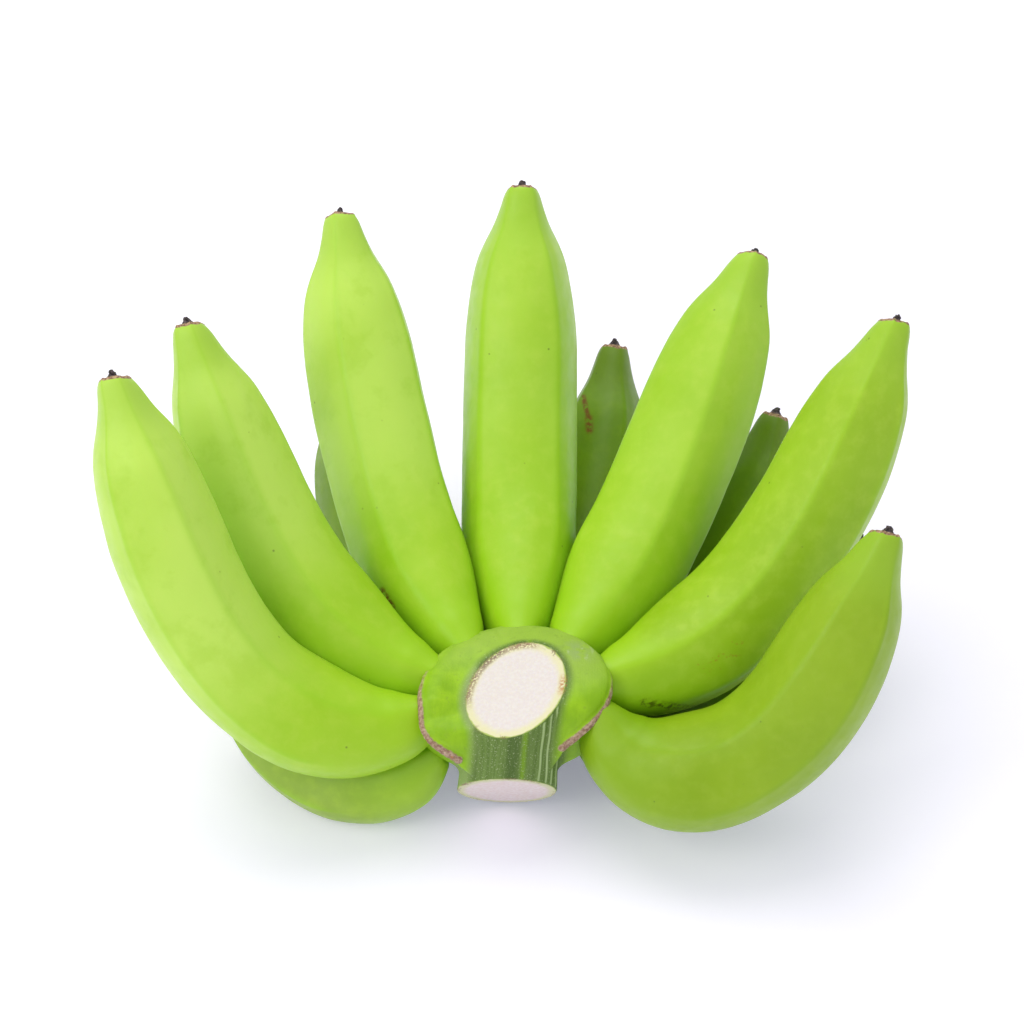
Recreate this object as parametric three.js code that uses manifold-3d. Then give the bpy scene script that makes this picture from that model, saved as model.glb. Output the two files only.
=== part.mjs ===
// A hand of unripe plantains, lying as picked: twelve fingers in two rows on a cut piece of stalk.
// Millimetres, +Z up. The table is z = 0, and the open side of the hand faces -Y.

import * as THREE from 'three';
import { mergeVertices } from 'three/addons/utils/BufferGeometryUtils.js';
import Module from 'manifold-3d';

const wasm = await Module();
wasm.setup();

// Driving dimensions of the crown, in millimetres and degrees.
// Heights along the stalk are counted from the middle of the crown.
const CROWN_HEIGHT = 59;
const CROWN_LEAN = 17;
const STALK_RADIUS = 17.6;
const STALK_SPREAD = 0.016;
const STALK_SLANT = 0.08;
const TOP_CUT = { height: 4.3, tilt: 27, sideways: 14, lip: 0.8 };
const BOTTOM_CUT = { height: -38, tilt: 41, sideways: -2 };
const STALK_ENDS = { lowest: -70, highest: 30 };
const CUT_BLOCK = 160;

// The cushion is the swelling that the fingers grow from. It runs round the back of the stalk as a
// crescent. Its rim rises to the back and to the right, and its underside hangs lowest at the back.
const CUSHION = {
  reach: 17.5,
  rightExtra: 1.2,
  inset: 0.5,
  rimWidth: 0.6,
  rim: { middle: 4.4, back: 8.4, right: 1 },
  underside: { middle: -29, back: -9 },
  rightEnd: -50,
  rightFull: 5,
  leftFull: 197,
  leftEnd: 230,
};
// Its outline: first as shares of the way up from the underside to the rim, then as heights over the rim.
const CUSHION_SIDE = [
  { share: 0, out: 0 },
  { share: 0.14, out: 0.45 },
  { share: 0.3, out: 0.8 },
  { share: 0.5, out: 0.96 },
  { share: 0.8, out: 1 },
];
const CUSHION_TOP = [
  { above: -2, out: 1 },
  { above: -0.4, out: 0.95 },
  { above: 0.5, out: 0.84 },
  { above: 1, out: 0.55 },
  { above: 1.5, out: 0.22 },
  { above: 2.4, out: 0 },
];
// The bract scar runs just under the rim and drops away over each end of the cushion.
const SCAR = {
  thickness: 2.8,
  height: 1.3,
  underRim: 1.2,
  out: 0.97,
  sides: 3,
  steps: 44,
  right: -31,
  left: 215,
  rightTurn: 5,
  leftTurn: 188,
  rightDrop: 12.5,
  leftDrop: 14,
};
const FIBRE = { radius: 1.1, azimuths: [-66, -59, -52] };

// Driving dimensions that all fingers share.
const NECK_RADIUS = 0.41;
const NECK_REACH = 60;
const NECK_POWER = 1.2;
const TIP_RADIUS = 0.26;
const TIP_START = 2;
const TIP_REACH = 66;
const TIP_POWER = 0.8;
const RIDGE_HEIGHT = 0.075;
const RIDGE_SPREAD = 6;
const RIDGE_COUNT = 5;
const RIDGE_SHARPNESS = 3;
const RIDGE_MEAN = 0.4;
const NECK_SQUEEZE = { across: 0.15, inward: 0.05, reach: 46 };
const ROOT_DEPTH = 6;
const ROOT_TAPER = 0.6;
const SOCKET_GAP = 0.3;
const SOCKET_REACH = 34;

// The dried flower end: radius as a share of the tip's, and height above it.
const FLOWER_END = [
  { radius: 0.76, height: -0.5 },
  { radius: 0.42, height: -0.2 },
  { radius: 0.4, height: 1.6 },
  { radius: 0.2, height: 2.8 },
];
const FLOWER_CREST = 0.5;

// Each finger leaves the crown at its root, turns by its swing, and rises from its droop to its rise.
// root and facing are directions round the stalk: 0 to the right, 90 to the back, 180 to the left.
const FINGERS = [
  { name: 'finger_upper_1', root: 179, height: -6.3, facing: 183.8, swing: -21.5, droop: -34, rise: 76,
    bend: 3, length: 194, belly: 21, neck: 0.94 },
  { name: 'finger_upper_2', root: 151, height: -0.4, facing: 155, swing: -1, droop: -5, rise: 73,
    bend: 2.45, length: 171, belly: 20.6, neck: 1.03 },
  { name: 'finger_upper_3', root: 122, height: 3.6, facing: 118, swing: -2.5, droop: 7, rise: 74,
    bend: 2, length: 186, belly: 21.3, neck: 1.03 },
  { name: 'finger_upper_4', root: 88, height: 5, facing: 90, swing: -2.4, droop: 4, rise: 78.5,
    bend: 1.8, length: 193, belly: 21.8, neck: 1.05 },
  { name: 'finger_upper_5', root: 54.5, height: 4, facing: 63.5, swing: -21.5, droop: 4, rise: 63,
    bend: 2, length: 182, belly: 21.9, neck: 1.04 },
  { name: 'finger_upper_6', root: 22.5, height: 0.8, facing: 29, swing: -1, droop: -16, rise: 68,
    bend: 2.3, length: 188, belly: 21.4, neck: 1 },
  { name: 'finger_upper_7', root: -3, height: -6, facing: -15.5, swing: 34, droop: -80, rise: 71,
    bend: 2.9, length: 164, belly: 21.7, neck: 0.85 },
  { name: 'finger_lower_1', root: 169, height: -28, facing: 171, swing: -50, droop: -60, rise: 58,
    bend: 2.3, length: 124, belly: 18.8, neck: 1.25 },
  { name: 'finger_lower_2', root: 116, height: -19.5, facing: 115, swing: -4, droop: -19, rise: 58,
    bend: 1.5, length: 176, belly: 19.5, neck: 1.3 },
  { name: 'finger_lower_3', root: 80, height: -19.5, facing: 77, swing: -2, droop: -17, rise: 63,
    bend: 1.5, length: 186, belly: 19.5, neck: 1.3 },
  { name: 'finger_lower_4', root: 49, height: -22.5, facing: 53, swing: 2, droop: -21, rise: 61,
    bend: 1.5, length: 175, belly: 19.5, neck: 1.3 },
  { name: 'finger_lower_5', root: 21, height: -25, facing: 31, swing: 12, droop: -46, rise: 56,
    bend: 1.8, length: 158, belly: 18.4, neck: 1.2 },
];
const ROOT_RADIUS = 32;

// Fineness of the faceted solids.
const FINGER_SIDES = 20;
const FINGER_RINGS = 20;
const SPINE_STEPS = 12;
const RING_CROWDING = 0.035;
const CROWN_SIDES = 48;
const FIBRE_SIDES = 6;

const radians = THREE.MathUtils.degToRad;
const ease = THREE.MathUtils.smoothstep;

// Carries a point from the crown's own frame, where the stalk is upright, to the table's.
const crownFrame = new THREE.Matrix4()
  .makeTranslation(0, 0, CROWN_HEIGHT)
  .multiply(new THREE.Matrix4().makeRotationX(-radians(CROWN_LEAN)));

// Goes evenly from 0 to a value as the number goes from one bound to the other.
function mapClamped(number, from, to, value) {
  return value * THREE.MathUtils.clamp((number - from) / (to - from), 0, 1);
}

function polar(radius, azimuth, height) {
  const angle = radians(azimuth);
  return new THREE.Vector3(radius * Math.cos(angle), radius * Math.sin(angle), height);
}

// A closed tube of rings with the same number of points each, with a fan over each end.
function ringTube(rings, firstCentre, lastCentre) {
  const sides = rings[0].length;
  const points = [...rings.flat(), firstCentre, lastCentre];
  const faces = [];
  for (let ring = 0; ring < rings.length - 1; ring += 1) {
    for (let side = 0; side < sides; side += 1) {
      const next = (side + 1) % sides;
      const low = ring * sides;
      const high = low + sides;
      faces.push(low + side, low + next, high + next);
      faces.push(low + side, high + next, high + side);
    }
  }
  const first = points.length - 2;
  const last = points.length - 1;
  const top = (rings.length - 1) * sides;
  for (let side = 0; side < sides; side += 1) {
    const next = (side + 1) % sides;
    faces.push(first, next, side);
    faces.push(last, top + side, top + next);
  }
  const geometry = new THREE.BufferGeometry().setFromPoints(points);
  geometry.setIndex(faces);
  return geometry;
}

// The centre line's direction, and the side that faces into the curve, at a share of the length.
function spineFrame(finger, share) {
  const eased = 1 - (1 - share) ** finger.bend;
  const azimuth = radians(finger.facing + finger.swing * share);
  const rise = radians(finger.droop + (finger.rise - finger.droop) * eased);
  const outward = new THREE.Vector3(Math.cos(azimuth), Math.sin(azimuth), 0);
  const upward = new THREE.Vector3(0, 0, 1);
  const along = outward.clone().multiplyScalar(Math.cos(rise)).addScaledVector(upward, Math.sin(rise));
  const inward = outward.clone().multiplyScalar(-Math.sin(rise)).addScaledVector(upward, Math.cos(rise));
  const across = new THREE.Vector3().crossVectors(along, inward);
  return { along, inward, across };
}

// The rings' places: close together at the neck and the tip, where the outline turns most.
function ringShare(ring) {
  const even = ring / (FINGER_RINGS - 1);
  return even - Math.sin(2 * Math.PI * even) * RING_CROWDING;
}

// A share of the belly's radius that swells from a narrow end to 1.
function swelling(distance, narrow, start, reach, power) {
  const share = THREE.MathUtils.clamp((distance - start) / reach, 0, 1);
  return narrow + (1 - narrow) * Math.sin((Math.PI / 2) * share ** power);
}

function fingerRadius(finger, distance) {
  const fromNeck = swelling(distance, NECK_RADIUS, 0, NECK_REACH * finger.neck, NECK_POWER);
  const fromTip = swelling(finger.length - distance, TIP_RADIUS, TIP_START, TIP_REACH, TIP_POWER);
  return finger.belly * Math.min(fromNeck, fromTip);
}

// A rounded pentagon: its corners are the peel's ridges, with one of them on the outer side of the curve.
function sectionPoint(finger, frame, centre, radius, side, distance) {
  const even = (360 * side) / FINGER_SIDES;
  const ridge = Math.abs(Math.cos(radians(((even - 180) * RIDGE_COUNT) / 2))) ** RIDGE_SHARPNESS;
  const angle = radians(even + RIDGE_SPREAD * Math.sin(radians(2 * even)));
  const squeezed = 1 - ease(distance, 0, NECK_SQUEEZE.reach);
  const reach = radius * (1 + RIDGE_HEIGHT * (ridge - RIDGE_MEAN));
  return centre
    .clone()
    .addScaledVector(frame.inward, reach * Math.cos(angle) * (1 + NECK_SQUEEZE.inward * squeezed))
    .addScaledVector(frame.across, reach * Math.sin(angle) * (1 - NECK_SQUEEZE.across * squeezed));
}

// The finger's rings in the crown's frame, grown on all sides and stopped past a given reach.
function fingerRings(finger, grow, stop) {
  const rings = [];
  const centres = [];
  const start = spineFrame({ ...finger, droop: finger.droop / 2 }, 0);
  const centre = polar(ROOT_RADIUS, finger.root, finger.height);
  centre.addScaledVector(start.along, -ROOT_DEPTH - grow);
  const addRing = (frame, radius, distance, lift = 0) => {
    const middle = centre.clone().addScaledVector(frame.along, lift);
    const ring = [];
    for (let side = 0; side < FINGER_SIDES; side += 1) {
      ring.push(sectionPoint(finger, frame, middle, radius, side, distance));
    }
    rings.push(ring);
    centres.push(middle);
  };
  addRing(start, fingerRadius(finger, 0) * ROOT_TAPER + grow, 0);
  centre.copy(polar(ROOT_RADIUS, finger.root, finger.height));
  let share = 0;
  for (let ring = 0; ring < FINGER_RINGS; ring += 1) {
    const step = (ringShare(ring) - share) / SPINE_STEPS;
    for (let part = 0; part < SPINE_STEPS; part += 1) {
      const middle = spineFrame(finger, share + step / 2);
      centre.addScaledVector(middle.along, step * finger.length);
      share += step;
    }
    const distance = share * finger.length;
    if (distance > stop) break;
    addRing(spineFrame(finger, share), fingerRadius(finger, distance) + grow, distance);
  }
  return { rings, centres, centre, frame: spineFrame(finger, share), addRing };
}

// Carries a point to the table's frame. A belly that would sink into the table lies flat on it.
function onTable(point) {
  const placed = point.clone().applyMatrix4(crownFrame);
  placed.z = Math.max(placed.z, 0);
  return placed;
}

function fingerGeometry(finger) {
  const { rings, centres, centre, frame, addRing } = fingerRings(finger, 0, finger.length);
  const tipRadius = fingerRadius(finger, finger.length);
  for (const level of FLOWER_END) {
    addRing(frame, tipRadius * level.radius, finger.length, level.height);
  }
  const crest = centre.clone().addScaledVector(frame.along, FLOWER_END.at(-1).height + FLOWER_CREST);
  const placed = rings.map((ring) => ring.map(onTable));
  return ringTube(placed, onTable(centres[0]), onTable(crest));
}

// The finger's neck grown by the gap on all sides: it cuts the socket in the crown.
function neckGeometry(finger) {
  const { rings, centres } = fingerRings(finger, SOCKET_GAP, SOCKET_REACH);
  return ringTube(rings, centres[0], centres.at(-1));
}

// How much of the cushion there is round the stalk: all of it at the back and sides, none at the front.
function cushionFlare(azimuth) {
  const right = ease(azimuth, CUSHION.rightEnd, CUSHION.rightFull);
  const left = 1 - ease(azimuth, CUSHION.leftFull, CUSHION.leftEnd);
  return right * left;
}

function rimHeight(azimuth) {
  const { middle, back, right } = CUSHION.rim;
  return middle + back * Math.sin(radians(azimuth)) + right * Math.cos(radians(azimuth));
}

// How high the top cut meets the stalk's wall.
function topCutHeight(azimuth) {
  const sideways = radians(TOP_CUT.sideways);
  const toRight = Math.tan(sideways) * Math.cos(radians(azimuth));
  const toBack = (Math.tan(radians(TOP_CUT.tilt)) / Math.cos(sideways)) * Math.sin(radians(azimuth));
  return TOP_CUT.height - TOP_CUT.lip + STALK_RADIUS * (toRight + toBack);
}

function undersideHeight(azimuth) {
  return CUSHION.underside.middle + CUSHION.underside.back * Math.sin(radians(azimuth));
}

// A point on or outside the stalk's own wall.
function stalkPoint(azimuth, height, outside = 0) {
  const point = polar(STALK_RADIUS - STALK_SPREAD * height + outside, azimuth, height);
  point.x += STALK_SLANT * height;
  return point;
}

// A point of the cushion's skin: out is a share of its reach. Where the cushion ends, it is in the stalk.
function cushionPoint(azimuth, height, out) {
  const reach = CUSHION.reach + CUSHION.rightExtra * Math.cos(radians(azimuth)) + CUSHION.inset;
  const outside = reach * cushionFlare(azimuth) * out - CUSHION.inset;
  return stalkPoint(azimuth, height, outside);
}

// The azimuths start at the front, where there is no cushion, and go once round the stalk.
function roundAzimuths() {
  return Array.from({ length: CROWN_SIDES }, (_, side) => -90 + (360 * side) / CROWN_SIDES);
}

function stalkGeometry() {
  const heights = [STALK_ENDS.lowest, STALK_ENDS.highest];
  const rings = heights.map((height) => roundAzimuths().map((azimuth) => stalkPoint(azimuth, height)));
  const centres = heights.map((height) => new THREE.Vector3(STALK_SLANT * height, 0, height));
  return ringTube(rings, ...centres);
}

function cushionGeometry() {
  const side = CUSHION_SIDE.map(({ share, out }) => (azimuth) => {
    const height = THREE.MathUtils.lerp(undersideHeight(azimuth), rimHeight(azimuth), share);
    return cushionPoint(azimuth, height, out);
  });
  const top = CUSHION_TOP.map(({ above, out }) => (azimuth) => {
    const share = Math.min(1, out / CUSHION.rimWidth);
    const height = THREE.MathUtils.lerp(topCutHeight(azimuth), rimHeight(azimuth) + above, share);
    return cushionPoint(azimuth, height, out);
  });
  const rings = [...side, ...top].map((level) => roundAzimuths().map(level));
  const bottomCentre = new THREE.Vector3(0, 0, CUSHION.underside.middle);
  const topCentre = new THREE.Vector3(0, 0, CUSHION.rim.middle);
  return ringTube(rings, bottomCentre, topCentre);
}

// The corky bract scar: up one end of the cushion, round its rim and down the other end.
function scarPath() {
  const points = [];
  for (let step = 0; step <= SCAR.steps; step += 1) {
    const azimuth = THREE.MathUtils.lerp(SCAR.right, SCAR.left, step / SCAR.steps);
    const rightDrop = mapClamped(azimuth, SCAR.rightTurn, SCAR.right, SCAR.rightDrop);
    const leftDrop = mapClamped(azimuth, SCAR.leftTurn, SCAR.left, SCAR.leftDrop);
    const height = rimHeight(azimuth) - SCAR.underRim - rightDrop - leftDrop;
    points.push(cushionPoint(azimuth, height, SCAR.out));
  }
  return new THREE.CatmullRomCurve3(points);
}

function scarGeometry() {
  const section = new THREE.Shape();
  section.ellipse(0, 0, SCAR.height, SCAR.thickness / 2, 0, 2 * Math.PI);
  return new THREE.ExtrudeGeometry(section, {
    curveSegments: SCAR.sides,
    steps: SCAR.steps,
    extrudePath: scarPath(),
  });
}

// A fibre that stands up along the front of the stalk.
function fibreGeometry(azimuth) {
  const rings = [STALK_ENDS.lowest, STALK_ENDS.highest].map((height) => {
    const middle = stalkPoint(azimuth, height);
    const ring = [];
    for (let side = 0; side < FIBRE_SIDES; side += 1) {
      ring.push(polar(FIBRE.radius, (360 * side) / FIBRE_SIDES, 0).add(middle));
    }
    return ring;
  });
  const centres = rings.map((ring) => ring[0].clone().lerp(ring[FIBRE_SIDES / 2], 0.5));
  return ringTube(rings, ...centres);
}

// A block whose face is the slanted cut across the stalk; side is 1 for the top cut and -1 for the bottom.
function cutGeometry(cut, side) {
  const block = new THREE.BoxGeometry(CUT_BLOCK, CUT_BLOCK, CUT_BLOCK);
  block.translate(0, 0, (side * CUT_BLOCK) / 2);
  block.rotateX(side * radians(cut.tilt));
  block.rotateY(-radians(cut.sideways));
  block.translate(STALK_SLANT * cut.height, 0, cut.height);
  return block;
}

function toSolid(geometry) {
  const bare = geometry.clone();
  bare.deleteAttribute('normal');
  bare.deleteAttribute('uv');
  const merged = mergeVertices(bare, 1e-4);
  return new wasm.Manifold(
    new wasm.Mesh({
      numProp: 3,
      vertProperties: new Float32Array(merged.attributes.position.array),
      triVerts: new Uint32Array(merged.index.array),
    }),
  );
}

function toGeometry(solid) {
  const mesh = solid.getMesh();
  const geometry = new THREE.BufferGeometry();
  geometry.setAttribute('position', new THREE.BufferAttribute(new Float32Array(mesh.vertProperties), 3));
  geometry.setIndex(new THREE.BufferAttribute(new Uint32Array(mesh.triVerts), 1));
  return geometry;
}

// The biggest body of a solid, without the crumbs that crossing sockets leave between them.
function largestBody(solid) {
  return solid.decompose().reduce((best, body) => (body.volume() > best.volume() ? body : best));
}

function crownGeometry() {
  const topBlock = toSolid(cutGeometry(TOP_CUT, 1));
  const bottomBlock = toSolid(cutGeometry(BOTTOM_CUT, -1));
  let stalk = toSolid(stalkGeometry());
  for (const azimuth of FIBRE.azimuths) {
    stalk = stalk.add(toSolid(fibreGeometry(azimuth)));
  }
  const cutOff = stalk.intersect(topBlock);
  stalk = stalk.subtract(topBlock);
  let crown = toSolid(cushionGeometry()).add(toSolid(scarGeometry()));
  crown = crown.subtract(cutOff).add(stalk).subtract(bottomBlock);
  for (const finger of FINGERS) {
    crown = crown.subtract(toSolid(neckGeometry(finger)));
  }
  return toGeometry(largestBody(crown)).applyMatrix4(crownFrame);
}

const peel = new THREE.MeshStandardMaterial({ color: 0x8fc23f, roughness: 0.42, metalness: 0 });
const crownSkin = new THREE.MeshStandardMaterial({ color: 0x6f9a3c, roughness: 0.6, metalness: 0 });

const hand = new THREE.Group();
const crown = new THREE.Mesh(crownGeometry(), crownSkin);
crown.name = 'crown';
hand.add(crown);
for (const finger of FINGERS) {
  const mesh = new THREE.Mesh(fingerGeometry(finger), peel.clone());
  mesh.name = finger.name;
  hand.add(mesh);
}

// The origin is under the middle of the hand, on the table.
const middle = new THREE.Box3().setFromObject(hand).getCenter(new THREE.Vector3());
hand.position.set(-middle.x, -middle.y, 0);

export default hand;
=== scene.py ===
"""A hand of unripe plantains on a pale studio floor: twelve green fingers in two rows on a cut stalk."""

import math

import bmesh
import bpy
from mathutils import Matrix, Vector, kdtree, noise


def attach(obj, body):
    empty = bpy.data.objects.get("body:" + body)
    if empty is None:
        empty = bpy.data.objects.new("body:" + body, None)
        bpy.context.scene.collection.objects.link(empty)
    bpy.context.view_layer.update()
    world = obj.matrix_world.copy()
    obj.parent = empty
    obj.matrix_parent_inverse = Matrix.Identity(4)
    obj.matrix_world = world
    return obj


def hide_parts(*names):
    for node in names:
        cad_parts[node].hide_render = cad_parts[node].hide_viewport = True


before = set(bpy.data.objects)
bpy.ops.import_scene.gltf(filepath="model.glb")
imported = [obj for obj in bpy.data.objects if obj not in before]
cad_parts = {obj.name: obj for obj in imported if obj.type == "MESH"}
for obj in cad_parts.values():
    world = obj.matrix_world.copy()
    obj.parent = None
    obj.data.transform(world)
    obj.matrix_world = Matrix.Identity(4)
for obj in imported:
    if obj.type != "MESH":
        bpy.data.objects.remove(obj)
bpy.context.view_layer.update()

# The fingers: each is one grown fruit with a waxy green peel that five soft ridges run along.
# Each narrows to a neck at the crown, and to a short blunt end that is pale brown and corky at its rim.
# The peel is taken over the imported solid, smoothed, and given its fine unevenness.
UPPER_FINGERS = 7
LOWER_FINGERS = 5
FINGER_NODES = [f"finger_upper_{place + 1}" for place in range(UPPER_FINGERS)]
FINGER_NODES += [f"finger_lower_{place + 1}" for place in range(LOWER_FINGERS)]
NECK_SIDES = 20
PEEL_LEVELS = 2
END_RINGS = 7
MERGE_DISTANCE = 0.000005
SEED_STEP = 7.0
SWELL = {"size": 0.028, "height": 0.0005}
DENT = {"size": 0.009, "height": 0.00012}
RIDGE_LIFT = 0.001
RIDGE_RANGE = (1.01, 1.06)
RIDGE_AFTER_NECK = (0.02, 0.06)
RIDGE_BEFORE_TIP = (0.008, 0.035)
NECK_FILL = 0.0022
NECK_FILL_GROWS = (0.004, 0.018)
NECK_FILL_ENDS = (0.03, 0.075)
WAIST = {"from_tip": 0.019, "depth": 0.0013, "width": 0.009}
END_RIM = {"from_tip": 0.0043, "peaks": 0.0012, "width": 0.0006, "grain": 0.004}
LIFT_BEFORE_TIP = 0.012
SLANT_BEFORE_TIP = 0.013
END_SLANT = 0.42
STUB = {"from_tip": 0.0034, "length": 0.75, "variation": 0.5, "sunk": 0.0004, "width": 0.6}
STUB_CRUMPLE = {"size": 0.0013, "height": 0.0006}
STUB_DRAW = Vector((0.3, 0.7, 0.1))
TOWARDS_FRONT = Vector((0.0, -1.0, 0.0))
NOISE_SEED = 12
noise.seed_set(NOISE_SEED)


def only(piece):
    """Leaves one object selected and active, as the operators need it."""
    bpy.ops.object.select_all(action="DESELECT")
    piece.select_set(True)
    bpy.context.view_layer.objects.active = piece


def copy_of_node(node, name):
    """A merged copy of a CAD node, with its own mesh."""
    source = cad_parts[node]
    piece = source.copy()
    piece.data = source.data.copy()
    piece.data.materials.clear()
    piece.name = name
    bpy.context.scene.collection.objects.link(piece)
    only(piece)
    bpy.ops.object.mode_set(mode="EDIT")
    bpy.ops.mesh.select_all(action="SELECT")
    bpy.ops.mesh.remove_doubles(threshold=MERGE_DISTANCE)
    bpy.ops.mesh.normals_make_consistent(inside=False)
    bpy.ops.object.mode_set(mode="OBJECT")
    if piece.data.has_custom_normals:
        bpy.ops.mesh.customdata_custom_splitnormals_clear()
    return piece


def rings_from_neck(mesh):
    """The finger's vertices as rings, from the middle of its hidden neck end to the top of its flower."""
    shape = bmesh.new()
    shape.from_mesh(mesh)
    shape.verts.ensure_lookup_table()
    caps = [vertex for vertex in shape.verts if len(vertex.link_edges) == NECK_SIDES]
    caps.sort(key=lambda vertex: -sum(edge.calc_length() for edge in vertex.link_edges))
    rings = [[caps[0].index]]
    seen = {caps[0].index}
    while rings[-1]:
        ring = []
        for index in rings[-1]:
            for edge in shape.verts[index].link_edges:
                other = edge.other_vert(shape.verts[index]).index
                if other not in seen:
                    seen.add(other)
                    ring.append(other)
        rings.append(ring)
    shape.free()
    return rings[:-1]


def new_measures(mesh, names):
    """Gives a mesh one number for each vertex under each name."""
    for name in names:
        mesh.attributes.new(name, "FLOAT", "POINT")
    return {name: mesh.attributes[name].data for name in names}


def write_measures(mesh, rings):
    """Stores for each vertex how far along the finger it is, how far from the tip, and how ridged."""
    centres = []
    for ring in rings:
        centres.append(sum((mesh.vertices[index].co for index in ring), Vector()) / len(ring))
    along = [0.0]
    for before, after in zip(centres, centres[1:]):
        along.append(along[-1] + (after - before).length)
    measures = new_measures(mesh, ("along", "to_tip", "ridge"))
    for ring, centre, distance in zip(rings, centres, along):
        reaches = [(mesh.vertices[index].co - centre).length for index in ring]
        mean = sum(reaches) / len(reaches)
        for index, reach in zip(ring, reaches):
            measures["along"][index].value = distance
            measures["to_tip"][index].value = along[-1] - distance
            measures["ridge"][index].value = reach / mean if mean else 1.0
    return centres


def eased(value, low, high):
    """A share that goes smoothly from 0 at low to 1 at high."""
    share = max(0.0, min(1.0, (value - low) / (high - low)))
    return share * share * (3.0 - 2.0 * share)


def bell(distance, width):
    """1 in the middle of a band, falling to 0 outside its width."""
    return math.exp(-((distance / width) ** 2))


def soften_peel(piece, seed, crest, direction, slant):
    """Swells and dents the peel, fills the neck, slants the blunt end back, and dries up the flower."""
    mesh = piece.data
    ridge = mesh.attributes["ridge"].data
    along = mesh.attributes["along"].data
    to_tip = mesh.attributes["to_tip"].data
    shift = Vector((seed, -seed, 2 * seed))
    stub = STUB["length"] + STUB["variation"] * noise.noise(shift + STUB_DRAW)
    nearer = (TOWARDS_FRONT - direction * TOWARDS_FRONT.dot(direction)).normalized()
    places = []
    for vertex in mesh.vertices:
        from_neck = along[vertex.index].value
        from_tip = to_tip[vertex.index].value
        sharp = eased(ridge[vertex.index].value, *RIDGE_RANGE)
        ridged = sharp * eased(from_tip, *RIDGE_BEFORE_TIP) * eased(from_neck, *RIDGE_AFTER_NECK)
        lift = SWELL["height"] * noise.noise(vertex.co / SWELL["size"] + shift)
        lift += DENT["height"] * noise.noise(vertex.co / DENT["size"] - shift)
        lift += RIDGE_LIFT * ridged
        lift += NECK_FILL * eased(from_neck, *NECK_FILL_GROWS) * (1.0 - eased(from_neck, *NECK_FILL_ENDS))
        lift -= WAIST["depth"] * bell(from_tip - WAIST["from_tip"], WAIST["width"])
        place = vertex.co + vertex.normal * lift * eased(from_tip, END_RIM["from_tip"], LIFT_BEFORE_TIP)
        peak = bell(from_tip - END_RIM["from_tip"], END_RIM["width"])
        uneven = (sharp + noise.noise(vertex.co / END_RIM["grain"] + shift)) / 2.0
        place += direction * END_RIM["peaks"] * peak * uneven
        end = 1.0 - eased(from_tip, END_RIM["from_tip"], SLANT_BEFORE_TIP)
        place += direction * (place - crest).dot(nearer) * slant * end
        if from_tip < STUB["from_tip"]:
            offset = place - crest
            height = offset.dot(direction)
            sideways = (offset - direction * height) * STUB["width"]
            crumple = noise.noise_vector(place / STUB_CRUMPLE["size"] + shift) * STUB_CRUMPLE["height"]
            place = crest + direction * (height * stub - STUB["sunk"]) + sideways + crumple
        place.z = max(place.z, 0.0)
        places.append(place)
    for vertex, place in zip(mesh.vertices, places):
        vertex.co = place


def tree_of(material):
    """Switches a material to nodes and gives its node tree and its shader."""
    material.use_nodes = True
    tree = material.node_tree
    return tree, tree.nodes["Principled BSDF"]


def add_node(tree, kind, **properties):
    """Adds a shader node with the given properties."""
    made = tree.nodes.new(kind)
    for name, value in properties.items():
        setattr(made, name, value)
    return made


NOISE_MIDDLE = 0.5
NOISE_ROUGHNESS = 0.5


def noise_at(tree, place, size, detail, roughness=NOISE_ROUGHNESS):
    """A noise whose lumps are about the given size in metres."""
    made = add_node(tree, "ShaderNodeTexNoise")
    made.inputs["Scale"].default_value = 1.0 / size
    made.inputs["Detail"].default_value = detail
    made.inputs["Roughness"].default_value = roughness
    tree.links.new(place, made.inputs["Vector"])
    return made.outputs["Fac"]


def between(tree, value, low, high, turned=False):
    """Turns a value into a share that goes smoothly from 0 at low to 1 at high, or from 1 to 0."""
    made = add_node(tree, "ShaderNodeMapRange", interpolation_type="SMOOTHSTEP")
    made.inputs["From Min"].default_value = low
    made.inputs["From Max"].default_value = high
    made.inputs["To Min"].default_value = 1.0 if turned else 0.0
    made.inputs["To Max"].default_value = 0.0 if turned else 1.0
    tree.links.new(value, made.inputs["Value"])
    return made.outputs["Result"]


def combined(tree, operation, first, second):
    """Combines two values, or a value and a number."""
    made = add_node(tree, "ShaderNodeMath", operation=operation)
    tree.links.new(first, made.inputs[0])
    if isinstance(second, (int, float)):
        made.inputs[1].default_value = second
    else:
        tree.links.new(second, made.inputs[1])
    return made.outputs[0]


def product(tree, first, second):
    """Multiplies two shares, or a share and a number."""
    return combined(tree, "MULTIPLY", first, second)


def total(tree, first, second):
    """Adds two values, or a value and a number."""
    return combined(tree, "ADD", first, second)


def colour_socket(sockets, name):
    """The colour socket of that name, among sockets of one name and several kinds."""
    return next(socket for socket in sockets if socket.name == name and socket.type == "RGBA")


def tinted(tree, under, colour, share, cover=None):
    """Lays a colour over another by a share, which may be weakened by how strongly the colour covers."""
    made = add_node(tree, "ShaderNodeMix", data_type="RGBA")
    for source, name in ((under, "A"), (colour, "B")):
        socket = colour_socket(made.inputs, name)
        if isinstance(source, tuple):
            socket.default_value = source
        else:
            tree.links.new(source, socket)
    tree.links.new(share if cover is None else product(tree, share, cover), made.inputs["Factor"])
    return colour_socket(made.outputs, "Result")


def patches(tree, place, layer):
    """A share that comes and goes over the surface in lumps, as a layer says."""
    lumps = noise_at(tree, place, layer["size"], layer["detail"], layer.get("roughness", NOISE_ROUGHNESS))
    return between(tree, lumps, *layer["range"])


def wandering(tree, value, place, layer):
    """Lets a value wander up and down over the surface, as a layer says, so that its edges are ragged."""
    wander = total(tree, noise_at(tree, place, layer["size"], layer["detail"]), -NOISE_MIDDLE)
    return total(tree, value, product(tree, wander, layer["reach"]))


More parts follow.
